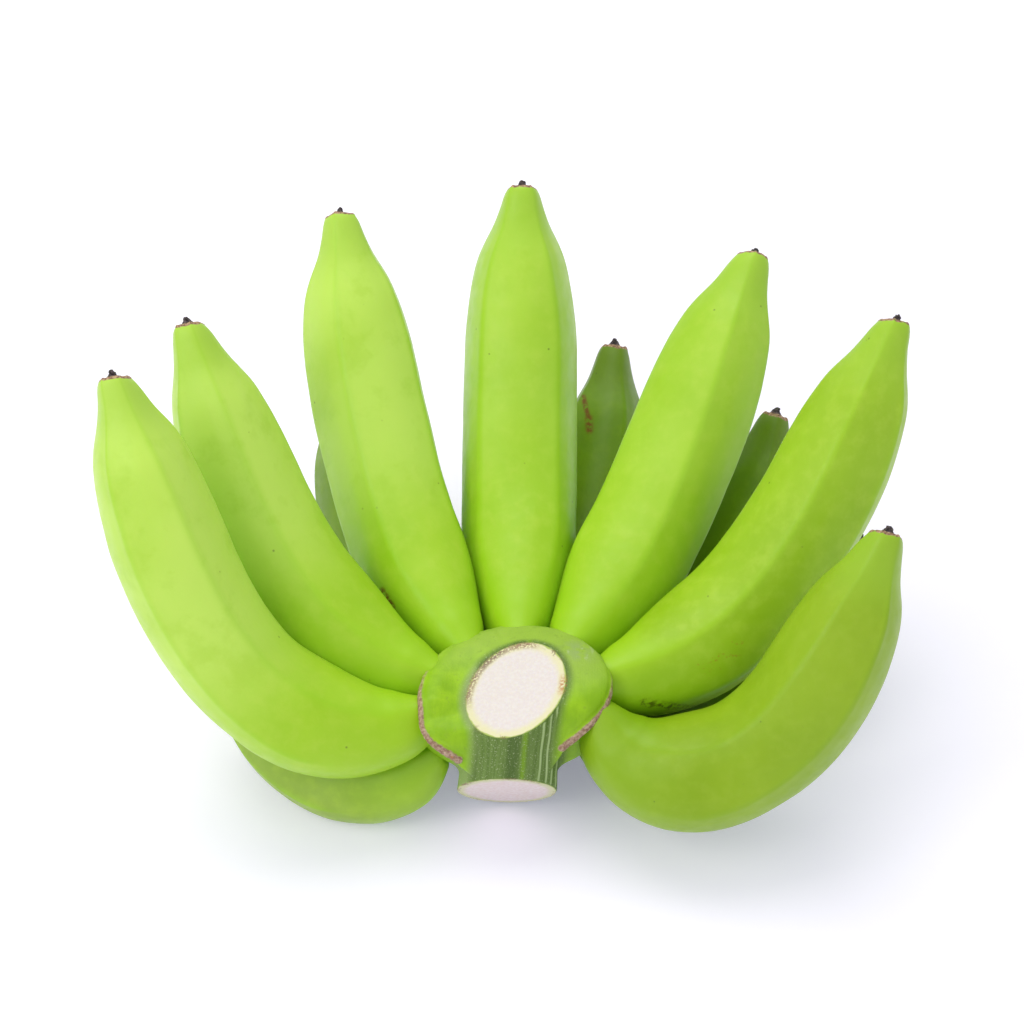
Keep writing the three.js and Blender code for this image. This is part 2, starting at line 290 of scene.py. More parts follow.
def patched(tree, under, colour, place, layer, within=None):
    """Lays a colour over another in patches, as a layer says, and only within a share if one is given."""
    share = patches(tree, place, layer)
    if within is not None:
        share = product(tree, share, within)
    return tinted(tree, under, colour, share, layer["cover"])


def ranged(tree, under, colour, value, layer, turned=False):
    """Lays a colour over another where a measure is high, or low if turned, as a layer says."""
    return tinted(tree, under, colour, between(tree, value, *layer["range"], turned=turned), layer["cover"])


def set_sockets(shader, values):
    """Sets sockets of a node by their names."""
    for name, value in values.items():
        shader.inputs[name].default_value = value


def roughened(tree, shader, value, at_none, at_one):
    """Links the roughness to a value: the first number at 0, the second at 1, and more above that."""
    rough = add_node(tree, "ShaderNodeMapRange", clamp=False)
    rough.inputs["To Min"].default_value = at_none
    rough.inputs["To Max"].default_value = at_one
    tree.links.new(value, rough.inputs["Value"])
    tree.links.new(rough.outputs["Result"], shader.inputs["Roughness"])


def bumped(tree, shader, height, bump_size):
    """Gives the surface fine relief from a height."""
    bump = add_node(tree, "ShaderNodeBump")
    set_sockets(bump, bump_size)
    tree.links.new(height, bump.inputs["Height"])
    tree.links.new(bump.outputs["Normal"], shader.inputs["Normal"])


def measure(tree, name):
    """Reads one of the piece's own measures."""
    return add_node(tree, "ShaderNodeAttribute", attribute_name=name).outputs["Fac"]


MARK_CORE = 0.2


def near_line(tree, place, start, stop, radius):
    """A share that is 1 along a line between two points and falls softly to 0 at a radius from it."""
    span = Vector(stop) - Vector(start)
    offset = add_node(tree, "ShaderNodeVectorMath", operation="SUBTRACT")
    tree.links.new(place, offset.inputs[0])
    offset.inputs[1].default_value = start
    along = add_node(tree, "ShaderNodeVectorMath", operation="DOT_PRODUCT")
    tree.links.new(offset.outputs["Vector"], along.inputs[0])
    along.inputs[1].default_value = span / span.length_squared
    part = add_node(tree, "ShaderNodeClamp")
    tree.links.new(along.outputs["Value"], part.inputs["Value"])
    nearest = add_node(tree, "ShaderNodeVectorMath", operation="SCALE")
    nearest.inputs[0].default_value = span
    tree.links.new(part.outputs["Result"], nearest.inputs["Scale"])
    reach = add_node(tree, "ShaderNodeVectorMath", operation="DISTANCE")
    tree.links.new(offset.outputs["Vector"], reach.inputs[0])
    tree.links.new(nearest.outputs["Vector"], reach.inputs[1])
    return between(tree, reach.outputs["Value"], MARK_CORE * radius, radius, turned=True)


def marks_near(tree, place, marks):
    """A share that is 1 in the middle of each mark and falls softly to 0 at its edge."""
    shares = [near_line(tree, place, *mark) for mark in marks]
    while len(shares) > 1:
        made = add_node(tree, "ShaderNodeMath", operation="MAXIMUM")
        tree.links.new(shares.pop(), made.inputs[0])
        tree.links.new(shares.pop(), made.inputs[1])
        shares.append(made.outputs[0])
    return shares[0]


# Marks on the peel: the line that each one follows, from point to point, and how far it reaches from it.
SCRATCHES = [
    ((0.0284, 0.0879, 0.0655), (0.0306, 0.0779, 0.0624), 0.0017),
    ((0.0306, 0.0779, 0.0624), (0.0308, 0.0729, 0.0604), 0.0024),
    ((-0.0482, -0.0242, 0.0636), (-0.0448, -0.0291, 0.061), 0.0026),
]
BRUISES = [
    ((0.0482, -0.0702, 0.0518), (0.0575, -0.0678, 0.0478), 0.0034),
    ((0.0575, -0.0678, 0.0478), (0.0673, -0.0604, 0.0401), 0.0042),
]
RUSTY_SPOTS = [
    ((0.07, -0.0617, 0.0612), (0.081, -0.0561, 0.0649), 0.006),
    ((-0.098, -0.03, 0.06), (-0.09, -0.034, 0.06), 0.011),
]

# What each kind of mark looks like, and how its grain breaks it up.
MARK_GRAIN = {"size": 0.0016, "detail": 4.0, "roughness": 0.65}
PEEL_MARKS = [
    {"lines": SCRATCHES, "range": (0.38, 0.52), "colour": (0.2, 0.065, 0.006, 1.0), "cover": 0.9},
    {"lines": BRUISES, "range": (0.42, 0.62), "colour": (0.05, 0.04, 0.004, 1.0), "cover": 0.75},
    {"lines": RUSTY_SPOTS, "range": (0.58, 0.66), "colour": (0.4, 0.24, 0.02, 1.0), "cover": 0.6},
]

# The layers of the peel's colour: the size of their lumps, how they come up, and how strongly they cover.
CLOUD = {"size": 0.04, "detail": 2.0, "range": (0.3, 0.72)}
YELLOWING = {"size": 0.006, "detail": 5.0, "roughness": 0.6, "range": (0.4, 0.75), "cover": 0.36}
# The pale bloom: partly the wax's own bloom and partly painted sheen, along the middle of each finger.
BLOOM_AND_SHEEN = {"size": 0.05, "detail": 1.0, "range": (0.1, 0.5)}
BLOOM_AND_SHEEN_AFTER_NECK = (0.05, 0.11)
BLOTCHES = {"size": 0.013, "detail": 4.0, "roughness": 0.6, "range": (0.5, 0.7), "cover": 0.26}
RIDGE_TINT = {"range": (1.02, 1.06), "cover": 0.5}
NECK_TINT = {"range": (0.008, 0.05), "cover": 0.6}
TIP_TINT = {"range": (0.012, 0.034), "cover": 0.5}
SPECKS = {"to_a_metre": 150.0, "reach": (0.035, 0.09)}
SPECKLED = {"size": 0.011, "detail": 1.0, "range": (0.55, 0.66), "cover": 0.55}
SPECK_GREEN = (0.06, 0.09, 0.015, 1.0)
RUBS = {"size": 0.0045, "detail": 6.0, "roughness": 0.7, "range": (0.71, 0.76), "cover": 0.5}
RUB_BROWN = (0.16, 0.1, 0.03, 1.0)

# The blunt end: a ragged edge of cork, and the dried flower in its middle.
RAGGED_EDGE = {"size": 0.0025, "detail": 4.0, "reach": 0.0016}
END_GRAIN = {"size": 0.0009, "detail": 3.0, "range": (0.35, 0.65)}
CORK_EDGE = (0.0043, 0.0047)
CORK_BROWN = (0.2, 0.11, 0.06, 1.0)
CORK_TAN = (0.5, 0.33, 0.2, 1.0)
FLOWER_EDGE = (0.0033, 0.0037)
FLOWER_BLACK = (0.012, 0.009, 0.012, 1.0)
FLOWER_GREY = (0.1, 0.075, 0.08, 1.0)

# The wax: its gloss, the light that goes a little way into the peel, and its fine pores.
GLOSS = {"size": 0.005, "detail": 4.0, "range": (0.3, 0.75)}
WAX_ROUGHNESS = (0.36, 0.5)
CORK_ROUGHER = 2.0
PEEL_SOCKETS = {
    "Subsurface Weight": 0.12,
    "Subsurface Radius": (0.6, 1.0, 0.15),
    "Subsurface Scale": 0.004,
    "Specular IOR Level": 0.3,
    "Coat Weight": 0.04,
    "Coat Roughness": 0.35,
}
PORES = {"size": 0.0011, "detail": 3.0}
PORE_HEIGHT = 0.25
WAVES = {"size": 0.006, "detail": 2.0}
PEEL_BUMP = {"Strength": 0.35, "Distance": 0.00035}


def peel_material(name, tone):
    """Waxy green peel with a pale bloom that is partly painted sheen, limier ridges, fine specks, marks,
    and a corky brown blunt end.
    """
    material = bpy.data.materials.new(name)
    tree, shader = tree_of(material)
    place = add_node(tree, "ShaderNodeTexCoord").outputs["Object"]
    along = measure(tree, "along")
    to_tip = measure(tree, "to_tip")
    colour = tinted(tree, tone["deep"], tone["light"], patches(tree, place, CLOUD))
    colour = patched(tree, colour, tone["yellow"], place, YELLOWING)
    # A pale bloom along the middle of the finger, partly wax bloom and partly painted sheen, as strong as
    # the tone says.
    bloom_and_sheen = product(tree, between(tree, along, *BLOOM_AND_SHEEN_AFTER_NECK), patches(tree, place, BLOOM_AND_SHEEN))
    colour = tinted(tree, colour, tone["pale"], bloom_and_sheen, tone["bloom_and_sheen"])
    colour = patched(tree, colour, tone["deep"], place, BLOTCHES)
    colour = ranged(tree, colour, tone["ridge"], measure(tree, "ridge"), RIDGE_TINT)
    colour = ranged(tree, colour, tone["neck"], along, NECK_TINT, turned=True)
    colour = ranged(tree, colour, tone["tip"], to_tip, TIP_TINT, turned=True)

    # Dark specks, a few small rubbed marks, and the scratches, bruises and rusty spots.
    dots = add_node(tree, "ShaderNodeTexVoronoi")
    dots.inputs["Scale"].default_value = SPECKS["to_a_metre"]
    tree.links.new(place, dots.inputs["Vector"])
    speck = between(tree, dots.outputs["Distance"], *SPECKS["reach"], turned=True)
    colour = patched(tree, colour, SPECK_GREEN, place, SPECKLED, within=speck)
    colour = patched(tree, colour, RUB_BROWN, place, RUBS)
    grain = noise_at(tree, place, **MARK_GRAIN)
    for mark in PEEL_MARKS:
        share = product(tree, marks_near(tree, place, mark["lines"]), between(tree, grain, *mark["range"]))
        colour = tinted(tree, colour, mark["colour"], share, mark["cover"])

    # The blunt end: a thin ragged corky rim, a tan face and the dried black flower on it.
    cork = between(tree, wandering(tree, to_tip, place, RAGGED_EDGE), *CORK_EDGE, turned=True)
    end_grain = patches(tree, place, END_GRAIN)
    colour = tinted(tree, colour, tinted(tree, CORK_BROWN, CORK_TAN, end_grain), cork)
    flower = between(tree, to_tip, *FLOWER_EDGE, turned=True)
    colour = tinted(tree, colour, tinted(tree, FLOWER_BLACK, FLOWER_GREY, end_grain), flower)
    tree.links.new(colour, shader.inputs["Base Color"])

    dull = total(tree, patches(tree, place, GLOSS), product(tree, cork, CORK_ROUGHER))
    roughened(tree, shader, dull, *WAX_ROUGHNESS)
    set_sockets(shader, PEEL_SOCKETS)
    pores = product(tree, noise_at(tree, place, **PORES), PORE_HEIGHT)
    bumped(tree, shader, total(tree, pores, noise_at(tree, place, **WAVES)), PEEL_BUMP)
    return material


# The greens of the peel: the upper row's in lit and shaded copies, paler on the left as painted light and
# darker on the right as painted shade, and the lower row's, darker partly by its own colour and partly as
# painted shade.
UPPER_TONE = {
    "deep": (0.32, 0.57, 0.012, 1.0),
    "light": (0.38, 0.63, 0.025, 1.0),
    "yellow": (0.47, 0.66, 0.06, 1.0),
    "ridge": (0.3, 0.6, 0.01, 1.0),
    "neck": (0.34, 0.6, 0.008, 1.0),
    "tip": (0.34, 0.58, 0.04, 1.0),
    "pale": (0.54, 0.78, 0.12, 1.0),
    "bloom_and_sheen": 0.3,
}
# Painted light: the three left fingers get much more pale bloom, which stands in for the sheen of the light
# on them.
SHEEN_LIT_TONE = {**UPPER_TONE, "bloom_and_sheen": 0.85}
# Painted shade: the sixth finger's greens are darker, and its ridge is lighter as a painted highlight.
PAINTED_SHADE_TONE = {
    **UPPER_TONE,
    "deep": (0.29, 0.5, 0.008, 1.0),
    "light": (0.33, 0.55, 0.014, 1.0),
    "ridge": (0.36, 0.66, 0.012, 1.0),
    "bloom_and_sheen": 0.1,
}
# Painted shade: the seventh finger, on the right, gets darker greens and hardly any bloom.
PAINTED_DEEP_SHADE_TONE = {
    **UPPER_TONE,
    "deep": (0.24, 0.4, 0.005, 1.0),
    "light": (0.29, 0.46, 0.01, 1.0),
    "yellow": (0.34, 0.5, 0.03, 1.0),
    "ridge": (0.25, 0.45, 0.006, 1.0),
    "neck": (0.24, 0.44, 0.005, 1.0),
    "bloom_and_sheen": 0.05,
}
# The lower row: darker green, partly its own colour and partly painted shade where the upper row hangs over
# it.
LOWER_GREEN_AND_SHADE_TONE = {
    "deep": (0.12, 0.24, 0.002, 1.0),
    "light": (0.18, 0.33, 0.003, 1.0),
    "yellow": (0.24, 0.38, 0.01, 1.0),
    "ridge": (0.16, 0.32, 0.002, 1.0),
    "neck": (0.24, 0.42, 0.008, 1.0),
    "tip": (0.12, 0.2, 0.006, 1.0),
    "pale": (0.2, 0.34, 0.01, 1.0),
    "bloom_and_sheen": 0.3,
}
# The front finger of the lower row: lighter than the rest of its row, as painted light where it lies in the
# open.
FRONT_LOWER_LIT_TONE = {
    **UPPER_TONE,
    "deep": (0.27, 0.42, 0.04, 1.0),
    "light": (0.32, 0.48, 0.07, 1.0),
    "pale": (0.36, 0.5, 0.14, 1.0),
}
upper_peel = peel_material("peel_upper", UPPER_TONE)
sheen_lit_peel = peel_material("peel_upper_painted_sheen", SHEEN_LIT_TONE)
painted_shade_peel = peel_material("peel_upper_painted_shade", PAINTED_SHADE_TONE)
painted_deep_shade_peel = peel_material("peel_upper_painted_deep_shade", PAINTED_DEEP_SHADE_TONE)
lower_green_and_shade_peel = peel_material("peel_lower_green_and_shade", LOWER_GREEN_AND_SHADE_TONE)
front_lit_peel = peel_material("peel_lower_front_lit", FRONT_LOWER_LIT_TONE)
# Each finger gets a lit or shaded copy of the peel, as painted light for where it lies.
PEELS = {node: upper_peel if "upper" in node else lower_green_and_shade_peel for node in FINGER_NODES}
PEELS.update({"finger_upper_1": sheen_lit_peel, "finger_upper_2": sheen_lit_peel, "finger_upper_3": sheen_lit_peel})
PEELS.update({"finger_upper_6": painted_shade_peel, "finger_upper_7": painted_deep_shade_peel, "finger_lower_1": front_lit_peel})

for seed, node in enumerate(FINGER_NODES):
    finger = copy_of_node(node, node + "_peel")
    rings = rings_from_neck(finger.data)
    centres = write_measures(finger.data, rings)
    towards_tip = (centres[-1] - centres[-END_RINGS]).normalized()
    slant = END_SLANT if "upper" in node else 0.0
    only(finger)
    bpy.ops.object.mode_set(mode="EDIT")
    bpy.ops.mesh.select_all(action="SELECT")
    bpy.ops.mesh.tris_convert_to_quads(face_threshold=math.pi, shape_threshold=math.pi)
    bpy.ops.object.mode_set(mode="OBJECT")
    bpy.ops.object.modifier_add(type="SUBSURF")
    finger.modifiers["Subdivision"].levels = PEEL_LEVELS
    finger.modifiers["Subdivision"].render_levels = PEEL_LEVELS
    bpy.ops.object.modifier_apply(modifier="Subdivision")
    soften_peel(finger, SEED_STEP * seed, centres[-1], towards_tip, slant)
    bpy.ops.object.shade_smooth()
    finger.data.materials.append(PEELS[node])
    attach(finger, "root")
    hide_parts(node)


# The crown: the piece of stalk with the cushion that the fingers grow from, cut off at both ends.
# It is one grown piece: fleshy and green, with pale wet pith where it is cut, and a brown corky scar
# round the cushion's rim where the bract came off. Fibres stand up along the front of the stalk.
# Its sizes are in millimetres and its azimuths in degrees, in a frame of its own that leans with the hand.
MM = 0.001
CROWN_MIDDLE = Vector((0.00096, -0.07571, 0.059))
CROWN_LEAN = math.radians(17.0)
STALK_RADIUS = 17.6
STALK_SPREAD = 0.016
STALK_SLANT = 0.08
TOP_CUT = {"height": 4.3, "to_right": 0.2493, "to_back": 0.5251}
BOTTOM_CUT = {"height": -38.0, "to_right": -0.035, "to_back": -0.87}
RIM = {"height": 4.4, "to_back": 8.4, "to_right": 1.0}
UNDERSIDE = {"height": -29.0, "to_back": -9.0}
CUSHION_REACH = 17.3
CUSHION_ENDS = {"right": (-50.0, 5.0), "left": (197.0, 230.0)}
WING_THICKNESS = 6.5
THINNING = {"right": (-22.0, 8.0), "left": (174.0, 200.0)}
CUSHION_SIDE = [(0.0, 0.02), (0.14, 0.45), (0.3, 0.8), (0.5, 0.96), (0.8, 1.0)]
CUSHION_TOP = [(-1.8, 1.0), (-0.3, 0.96), (0.6, 0.86), (1.0, 0.62), (1.3, 0.34), (1.6, 0.12)]
TOP_MEETS_CUT = 0.62
FULL_CUSHION = 0.3
CUT_LEVELS = 22
SKIN_LEVELS = 62
LEVELS = 2 * CUT_LEVELS + SKIN_LEVELS
CROWN_COLUMNS = 200
FIRST_AZIMUTH = -90.0
FULL_TURN = 360.0
CURVE_STEPS = 8
CUT_TRIES = 4
TINY = 1e-9
GRID_HALF = 0.5
CROWN_MERGE = 0.00002
CROWN_SMOOTHING = 1
SCAR_ENDS = (-33.0, 217.0)
SCAR_TURNS = (5.0, 188.0)
SCAR_DROPS = (12.5, 14.0)
SCAR_BELOW_RIM = 1.2
SCAR_STEPS = 120

# Where the top cut's edge has dried: the azimuth, how far it reaches in metres, and its brown.
DRIED_EDGES = [
    (165.0, 0.011, (0.3, 0.2, 0.13, 1.0)),
    (125.0, 0.013, (0.17, 0.09, 0.08, 1.0)),
    (85.0, 0.009, (0.28, 0.16, 0.1, 1.0)),
    (-8.0, 0.006, (0.5, 0.2, 0.05, 1.0)),
]
SCUFF_PLACE = Vector((22.0, 15.0, 7.0))
SCUFF_REACH = 0.011


def mixed(low, high, share):
    """The value a share of the way from low to high."""
    return low + (high - low) * share


def plane_height(plane, across, back):
    """The height of a slanted cut over a place on the ground plan."""
    return plane["height"] + plane["to_right"] * across + plane["to_back"] * back


def on_stalk(azimuth, height, outside):
    """A point at a distance outside the stalk's wall, in the crown's own millimetres."""
    angle = math.radians(azimuth)
    reach = STALK_RADIUS - STALK_SPREAD * height + outside
    return Vector((reach * math.cos(angle) + STALK_SLANT * height, reach * math.sin(angle), height))


def cushion_flare(azimuth):
    """How much of the cushion there is: all of it at the back and sides, and none at the front."""
    return eased(azimuth, *CUSHION_ENDS["right"]) * (1.0 - eased(azimuth, *CUSHION_ENDS["left"]))


def rim_height(azimuth):
    """The height of the cushion's rim, which drops away over both its ends."""
    angle = math.radians(azimuth)
    right = SCAR_DROPS[0] * max(0.0, (SCAR_TURNS[0] - azimuth) / (SCAR_TURNS[0] - SCAR_ENDS[0]))
    left = SCAR_DROPS[1] * max(0.0, (azimuth - SCAR_TURNS[1]) / (SCAR_ENDS[1] - SCAR_TURNS[1]))
    level = RIM["height"] + RIM["to_back"] * math.sin(angle) + RIM["to_right"] * math.cos(angle)
    return level - right - left


def cut_rim(plane, azimuth):
    """Where the stalk's wall meets a slanted cut."""
    point = on_stalk(azimuth, plane["height"], 0.0)
    for _ in range(CUT_TRIES):
        point = on_stalk(azimuth, plane_height(plane, point.x, point.y), 0.0)
    return point


def skin_controls(azimuth):
    """The wall's outline at one azimuth, as places outside the stalk and heights, from cut to cut."""
    low = cut_rim(BOTTOM_CUT, azimuth).z
    high = cut_rim(TOP_CUT, azimuth).z
    flare = cushion_flare(azimuth)
    rim = rim_height(azimuth)
    under = UNDERSIDE["height"] + UNDERSIDE["to_back"] * math.sin(math.radians(azimuth))
    thin = eased(azimuth, *THINNING["left"]) + 1.0 - eased(azimuth, *THINNING["right"])
    under = mixed(under, rim - WING_THICKNESS, thin)
    raw = [(CUSHION_REACH * flare * out, mixed(under, rim, share)) for share, out in CUSHION_SIDE]
    for above, out in CUSHION_TOP:
        falling = 1.0 - math.sqrt(1.0 - out * out)
        share = falling if rim < high else min(1.0, out / TOP_MEETS_CUT)
        raw.append((CUSHION_REACH * flare * out, mixed(high, rim + above * out, share)))
    blend = eased(flare, 0.0, FULL_CUSHION)
    controls = [(0.0, low)]
    for place, (outside, height) in enumerate(raw, start=1):
        plain = mixed(low, high, place / (len(raw) + 1))
        controls.append((outside, mixed(plain, height, blend)))
    controls.append((0.0, high))
    return controls


def smooth_curve(controls, count):
    """Evenly spaced places along a curve through the control points."""
    points = [Vector(control) for control in controls]
    ends = [points[0] * 2.0 - points[1], *points, points[-1] * 2.0 - points[-2]]
    fine = []
    for before, start, stop, after in zip(ends, ends[1:], ends[2:], ends[3:]):
        slope = stop - before
        bend = 2.0 * before - 5.0 * start + 4.0 * stop - after
        twist = 3.0 * start - before - 3.0 * stop + after
        for step in range(CURVE_STEPS):
            share = step / CURVE_STEPS
            fine.append(start + (slope * share + bend * share**2 + twist * share**3) / 2.0)
    fine.append(points[-1])
    lengths = [0.0]
    for before, after in zip(fine, fine[1:]):
        lengths.append(lengths[-1] + (after - before).length)
    placed = []
    segment = 0
    for place in range(count + 1):
        wanted = lengths[-1] * place / count
        while segment < len(fine) - 2 and lengths[segment + 1] < wanted:
            segment += 1
        span = max(lengths[segment + 1] - lengths[segment], TINY)
        placed.append(fine[segment].lerp(fine[segment + 1], (wanted - lengths[segment]) / span))
    return placed, lengths[-1]


def cut_face(plane, azimuth, share):
    """A point of a cut face, a share of the way from its middle to its rim."""
    rim = cut_rim(plane, azimuth)
    middle = Vector((STALK_SLANT * plane["height"], 0.0, plane["height"]))
    return middle.lerp(rim, share)


def crown_column(azimuth):
    """One column of the crown's skin, from the bottom cut's middle to the top cut's.

    Each entry is a point and its distances from the top and the bottom edge, which are below 0 on the cuts.
    """
    column = []
    for level in range(CUT_LEVELS):
        share = level / CUT_LEVELS
        column.append((cut_face(BOTTOM_CUT, azimuth, share), STALK_RADIUS, (share - 1.0) * STALK_RADIUS))
    outline, length = smooth_curve(skin_controls(azimuth), SKIN_LEVELS)
    for level, (outside, height) in enumerate(outline):
        up = length * level / SKIN_LEVELS
        column.append((on_stalk(azimuth, height, outside), length - up, up))
    for level in range(1, CUT_LEVELS + 1):
        share = 1.0 - level / CUT_LEVELS
        column.append((cut_face(TOP_CUT, azimuth, share), (share - 1.0) * STALK_RADIUS, STALK_RADIUS))
    return column


def scar_line():
    """Places along the scar: up one end of the cushion, round its rim and down the other end."""
    places = []
    for step in range(SCAR_STEPS + 1):
        azimuth = mixed(*SCAR_ENDS, step / SCAR_STEPS)
        outside = CUSHION_REACH * cushion_flare(azimuth)
        places.append(on_stalk(azimuth, rim_height(azimuth) - SCAR_BELOW_RIM, outside))
    return places


crown_frame = Matrix.Translation(CROWN_MIDDLE) @ Matrix.Rotation(-CROWN_LEAN, 4, "X") @ Matrix.Scale(MM, 4)
from_world = crown_frame.inverted()
bpy.ops.object.select_all(action="DESELECT")
bpy.ops.mesh.primitive_grid_add(x_subdivisions=CROWN_COLUMNS, y_subdivisions=LEVELS, size=2.0 * GRID_HALF)
crown = bpy.context.object
crown.name = "crown_flesh"
edges = new_measures(crown.data, ("top_edge", "bottom_edge"))
columns = {}
for vertex in crown.data.vertices:
    turn = round((vertex.co.x + GRID_HALF) * CROWN_COLUMNS) % CROWN_COLUMNS
    level = round((vertex.co.y + GRID_HALF) * LEVELS)
    if turn not in columns:
        columns[turn] = crown_column(FIRST_AZIMUTH + FULL_TURN * turn / CROWN_COLUMNS)
    point, from_top, from_bottom = columns[turn][level]
    vertex.co = crown_frame @ point
    edges["top_edge"][vertex.index].value = from_top * MM
    edges["bottom_edge"][vertex.index].value = from_bottom * MM
only(crown)
bpy.ops.object.mode_set(mode="EDIT")
bpy.ops.mesh.select_all(action="SELECT")
bpy.ops.mesh.remove_doubles(threshold=CROWN_MERGE)
bpy.ops.mesh.normals_make_consistent(inside=False)
bpy.ops.object.mode_set(mode="OBJECT")
bpy.ops.object.modifier_add(type="SUBSURF")
crown.modifiers["Subdivision"].levels = CROWN_SMOOTHING
bpy.ops.object.modifier_apply(modifier="Subdivision")


# The crown's relief in millimetres: soft lumps, ribs and fibres on the stalk's front, the raised scar with
# the groove under it, and the grain of the cut pith.
LUMPS = {"size": 9.0, "height": 0.25}
FRONT_FROM_SIDE = (0.0, 4.0)
FRONT_TO_CUSHION = (0.3, 2.0)
FIBRES = [(10.4, 0.55), (12.9, 0.5), (15.1, 0.5), (16.8, 0.4)]
FIBRE_HEIGHT = 0.42
FIBRE_DRIFT = {"size": 9.0, "reach": 0.5}
RIBS = {"sizes": (1.1, 1.1, 16.0), "height": 0.14}
SCAR_WANDER = {"size": 2.3, "reach": 0.3}
SCAR_RIDGE = {"width": 1.3, "height": 0.5, "grain": 0.4}
SCAR_GROOVE = {"distance": 2.4, "width": 0.8, "depth": 0.3}
PITH_GRAIN = {"size": 1.6, "height": 0.12}


def write_crown_measures(mesh):
    """Stores each vertex's place on the crown, in metres, and gives the skin its ribs, fibres and scar."""
    stored = new_measures(mesh, ("across", "height", "outside", "scar", "fibre"))
    top = mesh.attributes["top_edge"].data
    bottom = mesh.attributes["bottom_edge"].data
    line = scar_line()
    finder = kdtree.KDTree(len(line))
    for place, point in enumerate(line):
        finder.insert(point, place)
    finder.balance()
    moves = []
    for vertex in mesh.vertices:
        point = from_world @ vertex.co
        across = point.x - STALK_SLANT * point.z
        wall = STALK_RADIUS - STALK_SPREAD * point.z
        outside = math.hypot(across, point.y) - wall
        _, _, from_scar = finder.find(point)
        near_scar = max(0.0, from_scar + SCAR_WANDER["reach"] * noise.noise(point / SCAR_WANDER["size"]))
        skin = min(1.0, max(0.0, min(top[vertex.index].value, bottom[vertex.index].value) / MM))
        front = skin * eased(-point.y, *FRONT_FROM_SIDE) * (1.0 - eased(outside, *FRONT_TO_CUSHION))
        fibre = 0.0
        for place, width in FIBRES:
            drift = noise.noise(Vector((place, point.z / FIBRE_DRIFT["size"], 0.0)))
            fibre = max(fibre, bell(across - place - FIBRE_DRIFT["reach"] * drift, width))
        rib_place = zip((across, point.y, point.z), RIBS["sizes"])
        rib = noise.noise(Vector([distance / size for distance, size in rib_place]))
        scar = bell(near_scar, SCAR_RIDGE["width"]) * (1.0 + SCAR_RIDGE["grain"] * noise.noise(point))
        groove = bell(from_scar - SCAR_GROOVE["distance"], SCAR_GROOVE["width"])
        lift = skin * LUMPS["height"] * noise.noise(point / LUMPS["size"])
        lift += front * (FIBRE_HEIGHT * fibre + RIBS["height"] * rib)
        lift += skin * (SCAR_RIDGE["height"] * scar - SCAR_GROOVE["depth"] * groove)
        lift += (1.0 - skin) * PITH_GRAIN["height"] * noise.noise(point / PITH_GRAIN["size"])
        moves.append(vertex.normal * lift * MM)
        stored["across"][vertex.index].value = across * MM
        stored["height"][vertex.index].value = point.z * MM
        stored["outside"][vertex.index].value = outside * MM
        stored["scar"][vertex.index].value = near_scar * MM
        stored["fibre"][vertex.index].value = fibre * front
    for vertex, move in zip(mesh.vertices, moves):
        vertex.co += move


write_crown_measures(crown.data)
bpy.ops.object.shade_smooth()


def stretched(tree, sizes):
    """A place on the crown measured across the stalk, along it and outward, each in its own size."""
    made = add_node(tree, "ShaderNodeCombineXYZ")
    for name, size, socket in zip(("across", "height", "outside"), sizes, ("X", "Y", "Z")):
        tree.links.new(product(tree, measure(tree, name), 1.0 / size), made.inputs[socket])
    return made.outputs[0]


def near_point(tree, place, point, radius):
    """A share that is 1 at a point and falls softly to 0 at a radius from it."""
    made = add_node(tree, "ShaderNodeVectorMath", operation="DISTANCE")
    tree.links.new(place, made.inputs[0])
    made.inputs[1].default_value = point
    return between(tree, made.outputs["Value"], MARK_CORE * radius, radius, turned=True)


def band(tree, value, edges):
    """A share that is 1 in a band round a value and falls softly to 0 outside it."""
    low = edges["middle"] - edges["half_width"]
    high = edges["middle"] + edges["half_width"]
    rising = between(tree, value, low - edges["soft"], low + edges["soft"])
    falling = between(tree, value, high - edges["soft"], high + edges["soft"], turned=True)
    return product(tree, rising, falling)


# The cushion's colours: lime, duller and paler towards its rim, with soft darker patches.
CUSHION_GREENS = ((0.24, 0.46, 0.002, 1.0), (0.33, 0.58, 0.006, 1.0))
CUSHION_CLOUD = {"size": 0.007, "detail": 3.0, "range": (0.35, 0.7)}
RIM_GREEN = (0.34, 0.5, 0.07, 1.0)
RIM_TINT = {"range": (0.004, 0.013), "cover": 0.75}
SHADE_GREEN = (0.16, 0.27, 0.03, 1.0)
SHADES = {"size": 0.0035, "detail": 4.0, "roughness": 0.65, "range": (0.55, 0.72), "cover": 0.35}

# The stalk's front: dusty green with lengthwise streaks, a dark band, a bright one, specks and pale fibres.
STREAKS = {"sizes": (0.0011, 0.02, 0.003), "detail": 3.0, "range": (0.3, 0.7)}
WALL_EDGE = (0.0004, 0.0042)
DUSTY_GREENS = ((0.1, 0.175, 0.025, 1.0), (0.15, 0.24, 0.05, 1.0))
STALK_BANDS = [
    ({"middle": 0.0002, "half_width": 0.0022, "soft": 0.0014}, (0.06, 0.115, 0.015, 1.0), 0.75),
    ({"middle": 0.0042, "half_width": 0.0009, "soft": 0.0008}, (0.17, 0.32, 0.008, 1.0), 0.85),
]
LEFT_SIDE_GREEN = (0.34, 0.46, 0.16, 1.0)
LEFT_SIDE_TINT = {"range": (-0.0162, -0.0125), "cover": 0.7}
DUST_GREY = (0.45, 0.53, 0.28, 1.0)
DUST = {"size": 0.0005, "detail": 2.0, "range": (0.6, 0.68), "cover": 0.6}
FIBRE_GREEN = (0.42, 0.55, 0.24, 1.0)
FIBRE_TINT = {"range": (0.35, 0.8), "cover": 0.8}

